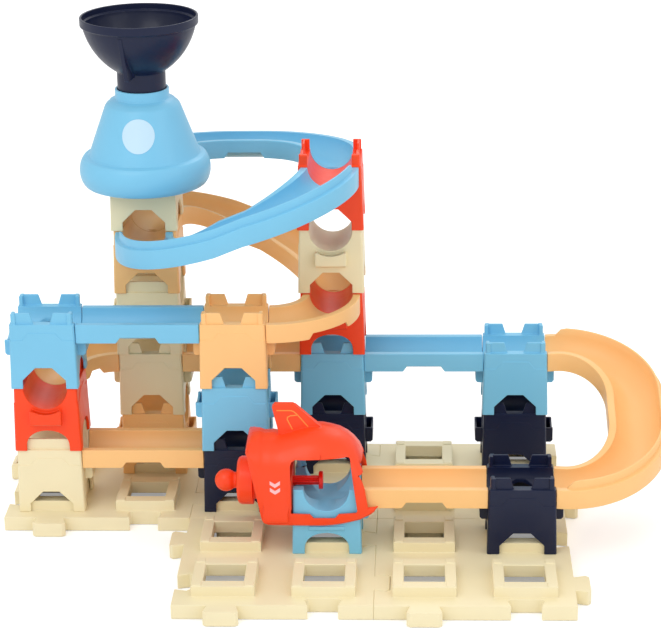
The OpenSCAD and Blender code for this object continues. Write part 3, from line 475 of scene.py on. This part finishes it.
def finish_piece(piece, node):
    """The piece takes its node's place, finish and body."""
    piece.data.materials.clear()
    piece.data.materials.append(FINISH[SLOT[node]])
    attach(piece, NODE_BODY[node])
    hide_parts(node)


def dress_node(node, width, segments=2, angle=32, wide=None, even=True, crease=38):
    """A piece over a node that only gains its moulded edges."""
    piece = copy_of_node(node, node + "_moulded")
    roll_edges(piece, width, segments, angle, wide, even, crease)
    finish_piece(piece, node)


# ---------------------------------------------------------------- tower blocks

# Each tower's column and row, and for each block the way its channel runs: along x, along y, (b) out of the
# back alone, or (a) along both
TOWERS = {"west_tower": (-2, 2, "xyx"), "tall_tower": (-1, 3, "xxxyb"), "inner_tower": (0, 2, "xxx"),
          "high_tower": (1, 3, "xxyyy"), "east_tower": (3, 3, "xx"), "launch_block": (1, 1, "a"),
          "corner_block": (3, 1, "x")}
CORNER_RADIUS = 2.2 * MM
# In millimetres from a block's base: its shoulder and where the posts' tops begin; then half widths: past the
# posts' inner corners, near the block's corners, near its faces, and to the posts' inner faces before and
# after they reach in
SHOULDER, POST_TOPS = 64.05, 74
POST_OUT, CORNER_OUT, FACE_OUT = 25.4, 28.4, 28.9
POST_IN, BAY_HALF = 24.5, 21.3


def fill_bays(piece, base, open_along):
    """Over an open side the corner posts reach in to the channel's own width."""
    for vertex in piece.data.vertices:
        x, y, z = (vertex.co - base) / MM
        if z < SHOULDER:
            continue
        along_y = open_along in "ya" or open_along == "b" and y > 0
        if open_along in "xa" and abs(x) > POST_OUT and abs(abs(y) - POST_IN) < 0.15:
            vertex.co.y = base.y + math.copysign(BAY_HALF * MM, y)
        elif along_y and abs(y) > POST_OUT and abs(abs(x) - POST_IN) < 0.15:
            vertex.co.x = base.x + math.copysign(BAY_HALF * MM, x)


def block_radii(base, open_along):
    """The block's upright corners, and its posts' tops over an open side, are rounder than the rest."""
    def wide(middle, run):
        x, y, z = (middle - base) / MM
        if abs(run.z) > 0.9 and abs(abs(x) - abs(y)) < 0.7 and min(abs(x), abs(y)) > CORNER_OUT:
            return CORNER_RADIUS
        across_x = open_along in "xa" and abs(x) > FACE_OUT and abs(run.y) > 0.9
        across_y = (open_along in "ya" and abs(y) > FACE_OUT or open_along == "b" and y > FACE_OUT) \
            and abs(run.x) > 0.9
        return CORNER_RADIUS if z > POST_TOPS and (across_x or across_y) else None
    return wide


# ---------------------------------------------------------------- slides

HALF_TRACK = 28 * MM
TROUGH = 21 * MM
TRACK_WALL = 2.4 * MM
RIM_DROP = 1 * MM
SKIRT_LOW = 19.6 * MM
GUARD = 8 * MM
GUARD_START, GUARD_RAMP = 0.036, 0.03  # as shares of a slide's length
RIM_ROUND = 0.9 * MM
FOOT_ROUND = 0.6 * MM
EASE_PULL = 1.4
BEND_STEPS = 26
SIDE_RADIUS, SIDE_LEAD, LOOP_RADIUS = 73 * MM, 9.5 * MM, 77 * MM
TRACK_END = 31.509 * MM                # from a tower's axis to where a track's end meets its block
LOOP_DROOP = 0.09


def arc(centre, radius, start, stop, steps):
    """Points (out, up) round a centre, from one angle to another in degrees."""
    turn = [math.radians(start + (stop - start) * k / steps) for k in range(steps + 1)]
    return [(centre[0] + radius * math.cos(a), centre[1] + radius * math.sin(a)) for a in turn]


def slide_section(guard):
    """A slide's outline, anticlockwise: outer skirt, guard, trough, inner skirt, back along its inside."""
    soft = RIM_ROUND
    lip = 0.5 * TRACK_WALL
    lift = min(guard, lip)
    rim = -RIM_DROP
    points = arc((HALF_TRACK - FOOT_ROUND, -SKIRT_LOW + FOOT_ROUND), FOOT_ROUND, -60, 0, 2)
    points += arc((HALF_TRACK - soft, rim - soft), soft, 0, 90, 3)
    if guard > soft:
        points += arc((TROUGH + TRACK_WALL + soft, rim + soft), soft, 270, 180, 2)
    else:
        points += [(TROUGH + TRACK_WALL + soft * (1 - k / 2), rim + guard * k / 2) for k in range(3)]
    points += [(TROUGH + lip + lip * math.cos(a), rim + guard - lift + lift * math.sin(a))
               for a in (math.radians(22.5 * k) for k in range(1, 8))]
    low = math.asin(RIM_DROP / TROUGH)
    points += arc((0, 0), TROUGH, -math.degrees(low), -180 + math.degrees(low), 22)
    points += arc((-TROUGH - soft, rim - soft), soft, 50, 90, 1)
    points += arc((-HALF_TRACK + soft, rim - soft), soft, 90, 180, 3)
    points += arc((-HALF_TRACK + FOOT_ROUND, -SKIRT_LOW + FOOT_ROUND), FOOT_ROUND, 180, 240, 2)
    inner = TROUGH + TRACK_WALL
    points += [(-HALF_TRACK + TRACK_WALL, -SKIRT_LOW), (-HALF_TRACK + TRACK_WALL, rim - TRACK_WALL)]
    low = math.degrees(math.asin((RIM_DROP + TRACK_WALL) / inner))
    points += arc((0, 0), inner, -180 + low, -low, 16)
    points += [(HALF_TRACK - TRACK_WALL, rim - TRACK_WALL), (HALF_TRACK - TRACK_WALL, -SKIRT_LOW)]
    return points


def slide_plan(radius, lead):
    """Rings of a slide's plan: x, y, the outward direction, and the share of its length.
    It runs straight for its lead, bends, runs straight across, bends back and leads in again."""
    bend, straight = math.pi * radius / 2, 2 * (PITCH - radius)
    whole = 2 * (bend + lead) + straight
    rings = [(PITCH, -lead * k / 3, 1, 0, lead * k / 3 / whole) for k in range(3) if lead]
    for k in range(BEND_STEPS + 1):
        a = math.pi / 2 * k / BEND_STEPS
        rings.append((PITCH - radius + radius * math.cos(a), -lead - radius * math.sin(a),
                      math.cos(a), -math.sin(a), (lead + bend * k / BEND_STEPS) / whole))
    for k in (1, 2):
        rings.append((PITCH - radius - straight * k / 3, -lead - radius, 0, -1,
                      (lead + bend + straight * k / 3) / whole))
    for k in range(BEND_STEPS + 1):
        a = math.pi / 2 * (1 + k / BEND_STEPS)
        rings.append((radius - PITCH + radius * math.cos(a), -lead - radius * math.sin(a),
                      math.cos(a), -math.sin(a),
                      (lead + bend + straight + bend * k / BEND_STEPS) / whole))
    rings += [(-PITCH, -lead * (1 - k / 3), -1, 0, 1 - lead * (1 - k / 3) / whole) for k in (1, 2, 3) if lead]
    return rings


def fall(share):
    """How far down a slide has come at a share of its length: it hangs back at its ends."""
    return (1 - EASE_PULL) * share + EASE_PULL * share * share * (3 - 2 * share)


def guard_height(share):
    """None at the ends, then up an eased ramp."""
    ramp = min(1, max(0, (min(share, 1 - share) - GUARD_START) / GUARD_RAMP))
    return GUARD * math.sqrt(ramp * (2 - ramp))


def wrap_grid(name, rows):
    """A grid laid over rows of points, each row a ring, its seam merged and its two ends capped."""
    let_go()
    width = len(rows[0])
    bpy.ops.mesh.primitive_grid_add(x_subdivisions=width, y_subdivisions=len(rows) - 1, size=1)
    piece = bpy.context.active_object
    piece.name = name
    for index, vertex in enumerate(piece.data.vertices):
        vertex.co = rows[index // (width + 1)][index % (width + 1) % width]
    take(piece)
    bpy.ops.object.mode_set(mode="EDIT")
    bpy.ops.mesh.select_all(action="SELECT")
    bpy.ops.mesh.remove_doubles(threshold=0.001 * MM)
    bpy.ops.mesh.select_all(action="DESELECT")
    bpy.ops.mesh.select_non_manifold()
    bpy.ops.mesh.edge_face_add()
    bpy.ops.mesh.select_all(action="SELECT")
    bpy.ops.mesh.normals_make_consistent(inside=False)
    bpy.ops.object.mode_set(mode="OBJECT")
    return piece


def add_tongue(piece, matrix):
    """The flat hook under a slide's end, which drops into a block's pocket."""
    let_go()
    bpy.ops.mesh.primitive_cube_add(size=1)
    tongue = bpy.context.active_object
    width, thick, inward, top, low = 22.6 * MM, 2.2 * MM, 3.7 * MM, 20 * MM, 32.6 * MM
    for vertex in tongue.data.vertices:
        x, y, z = vertex.co
        vertex.co = matrix @ Vector((x * width, -inward + y * thick, -top if z > 0 else -low))
    take(tongue)
    bpy.ops.object.mode_set(mode="EDIT")
    bpy.ops.mesh.select_all(action="SELECT")
    bpy.ops.mesh.bevel(offset=0.5 * MM, segments=2, affect="EDGES")
    bpy.ops.object.mode_set(mode="OBJECT")
    take(piece)
    tongue.select_set(True)
    bpy.ops.object.join()


# In millimetres: the cut-out's outline from the skirt's lower edge, and how far in its two ends lie
SKIRT_CUT = [(-20.5, -5), (-20.5, 2), (-16.5, 8.7), (16.5, 8.7), (20.5, 2), (20.5, -5)]
SKIRT_SIDES = (-47.5, -53.5)


def cut_skirt(piece, matrix, low):
    """The shallow cut-out in the middle of the top loop's inner skirt."""
    rows = [[matrix @ (Vector((x, y, low + z)) * MM) for x, z in SKIRT_CUT] for y in SKIRT_SIDES]
    cutter = wrap_grid("skirt_cutter", rows)
    take(piece)
    cut = piece.modifiers.new("skirt_cut", "BOOLEAN")
    cut.operation = "DIFFERENCE"
    cut.solver = "EXACT"
    cut.object = cutter
    bpy.ops.object.modifier_apply(modifier=cut.name)
    bpy.data.objects.remove(cutter)


def sweep_slide(node, place, turn, radius, drop, droop=0.0, guarded=True, lead=0.0):
    """A curved slide: its section carried round the plan, falling as it goes."""
    matrix = Matrix.Translation(place) @ Matrix.Rotation(math.radians(turn), 4, "Z")
    rows = []
    for x, y, nx, ny, share in slide_plan(radius, lead):
        guard = guard_height(share) if guarded else 0.0
        row = []
        for out, up in slide_section(guard):
            px, py = x + nx * out, y + ny * out
            row.append(matrix @ Vector((px, py, up - drop * fall(share) + droop * min(0, py))))
        rows.append(row)
    piece = wrap_grid(node + "_swept", rows)
    if not guarded:
        cut_skirt(piece, matrix, -SKIRT_LOW / MM - droop * radius / MM)
    for end, low in ((1, 0.0), (-1, drop)):
        add_tongue(piece, matrix @ Matrix.Translation((end * PITCH, 0, -low)))
    take(piece)
    bpy.ops.object.shade_smooth_by_angle(angle=math.radians(38))
    finish_piece(piece, node)


# ---------------------------------------------------------------- launcher's marks and spring

# From the launch tower's axis on the base plate's top
LAUNCH = cell(1, 1)
ROD_HEIGHT = 60.5 * MM
BODY_HALF = 35.75 * MM
FIN_HALF = 3.4 * MM
STRIKER_ROUND, STRIKER_BACK, ROD_RIM = 1.7 * MM, -9 * MM, 7 * MM
CHEVRON_X = -46.6 * MM
CHEVRON_TOPS = {"upper": 75.3 * MM, "lower": 68.6 * MM}
# In millimetres along x and up
FIN_OUTLINE = [(-45.7, 131.8), (-32.4, 131.8), (-30, 131), (-26.3, 127.4), (-16.8, 115.8)]
FIN_BRANCH = [(-26.3, 127.4), (-33, 126.6), (-35.6, 125.2), (-36, 123), (-31.3, 113.2)]


def rod_radii(middle, run):
    """The rim of the striker's disc is rounder than the rod's other edges."""
    off = middle - LAUNCH - Vector((0, 0, ROD_HEIGHT))
    on_rim = off.x > STRIKER_BACK and math.hypot(off.y, off.z) > ROD_RIM
    return STRIKER_ROUND if on_rim else None


def finish_print(piece, ink):
    """A print rides with the body's near half and stands in for no node."""
    settle_normals(piece)
    piece.data.materials.append(FINISH[ink])
    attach(piece, NODE_BODY["launcher_body_near"])


def add_chevron(name, middle, top, y):
    """One thick downward chevron printed on the launcher's side, as a thin raised layer."""
    half, rise, thick, ink = 4.7 * MM, 3.1 * MM, 3.6 * MM, 0.12 * MM
    rows = []
    for side in (-1, 0, 1):
        x, z = middle + side * half, top - (rise if side == 0 else 0)
        rows.append([LAUNCH + Vector((x, y + depth, height)) for depth, height in
                     ((-ink, z - thick), (-ink, z), (2 * ink, z), (2 * ink, z - thick))])
    finish_print(wrap_grid(name, rows), "pink_ink")


def add_fin_line(name, points, side):
    """A fine raised line on a face of the fin, carried along its corners."""
    half, proud = 0.5 * MM, 0.14 * MM
    rows = []
    spots = [Vector((x, 0, z)) * MM for x, z in points]
    for k, spot in enumerate(spots):
        before = (spot - spots[k - 1]).normalized() if k else None
        after = (spots[k + 1] - spot).normalized() if k + 1 < len(spots) else None
        run = ((before or after) + (after or before)).normalized()
        widen = half / max(0.5, run.dot(before or after))
        over = Vector((-run.z, 0, run.x)) * widen
        rows.append([LAUNCH + spot + over * a + Vector((0, side * (FIN_HALF + b * proud), 0))
                     for a, b in ((-1, 0.9), (-0.5, 1), (0.5, 1), (1, 0.9), (1, -1), (-1, -1))])
    finish_print(wrap_grid(name, rows), "amber_ink")


def add_spring():
    """The return spring as one drawn wire, closer wound at its ends."""
    start, stop = -68.4 * MM, -37.7 * MM
    turns, coil, wire, around, sides, gather = 7, 7.2 * MM, 0.6 * MM, 40, 12, 0.055
    steps = turns * around
    span = stop - start - 2 * wire
    rows = []
    for k in range(steps + 1):
        share = k / steps
        eased = share - gather * math.sin(2 * math.pi * share)
        turn = 2 * math.pi * turns * share
        x = start + wire + span * eased
        out = Vector((0, math.cos(turn), math.sin(turn)))
        centre = LAUNCH + Vector((x, 0, ROD_HEIGHT)) + out * coil
        rows.append([centre + out * (wire * math.cos(b)) + Vector((wire * math.sin(b), 0, 0))
                     for b in (2 * math.pi * j / sides for j in range(sides))])
    piece = wrap_grid("plunger_spring_wire", rows)
    settle_normals(piece, 50)
    finish_piece(piece, "plunger_spring")
    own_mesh(piece)


# ---------------------------------------------------------------- the set


set_camera()
lay_floor()
set_light()

for node, obj in frame["nodes"].items():
    obj.data.materials.clear()
    obj.data.materials.append(FINISH[SLOT[node]])

for tower, (column, row, openings) in TOWERS.items():
    for level, open_along in enumerate(openings):
        node = f"{tower}_block_{level + 1}" if tower.endswith("tower") else tower
        base = cell(column, row, level)
        piece = copy_of_node(node, node + "_moulded")
        fill_bays(piece, base, open_along)
        roll_edges(piece, 0.7 * MM, 3, wide=block_radii(base, open_along))
        finish_piece(piece, node)
for node in [n for n in NODE_BODY if n.startswith("base_plate")]:
    dress_node(node, 0.8 * MM)
for node in [n for n in NODE_BODY if n.startswith(("straight_track", "quarter_track"))]:
    dress_node(node, 0.6 * MM)
sweep_slide("slide_side", cell(3, 2, 2) + Vector((TRACK_END, 0, 0)), 90, SIDE_RADIUS, LEVEL,
            lead=SIDE_LEAD)
sweep_slide("slide_top_loop", cell(0, 3, 5) + Vector((0, TRACK_END, 0)), 180, LOOP_RADIUS, 0,
            LOOP_DROOP, False)
sweep_slide("slide_front", cell(0, 3, 5) + Vector((0, -TRACK_END, 0)), 0, LOOP_RADIUS, LEVEL)
sweep_slide("slide_back", cell(0, 3, 4) + Vector((0, TRACK_END, 0)), 180, LOOP_RADIUS, LEVEL)
for node in ("bell", "funnel", "launcher_tail_cap", "plunger_knob"):
    dress_node(node, 0.8 * MM)
for node in ("launcher_body_near", "launcher_body_far"):
    dress_node(node, 0.6 * MM, 3, 42, even=False, crease=24)
for node in ("plunger_rod", "launcher_guide"):
    dress_node(node, 0.4 * MM, 3, wide=rod_radii)
add_spring()
for name, top in CHEVRON_TOPS.items():
    add_chevron(f"launcher_chevron_{name}", CHEVRON_X, top, -BODY_HALF + 0.02 * MM)
for name, side in (("near", -1), ("far", 1)):
    add_fin_line(f"fin_line_{name}", FIN_OUTLINE, side)
    add_fin_line(f"fin_branch_{name}", FIN_BRANCH, side)
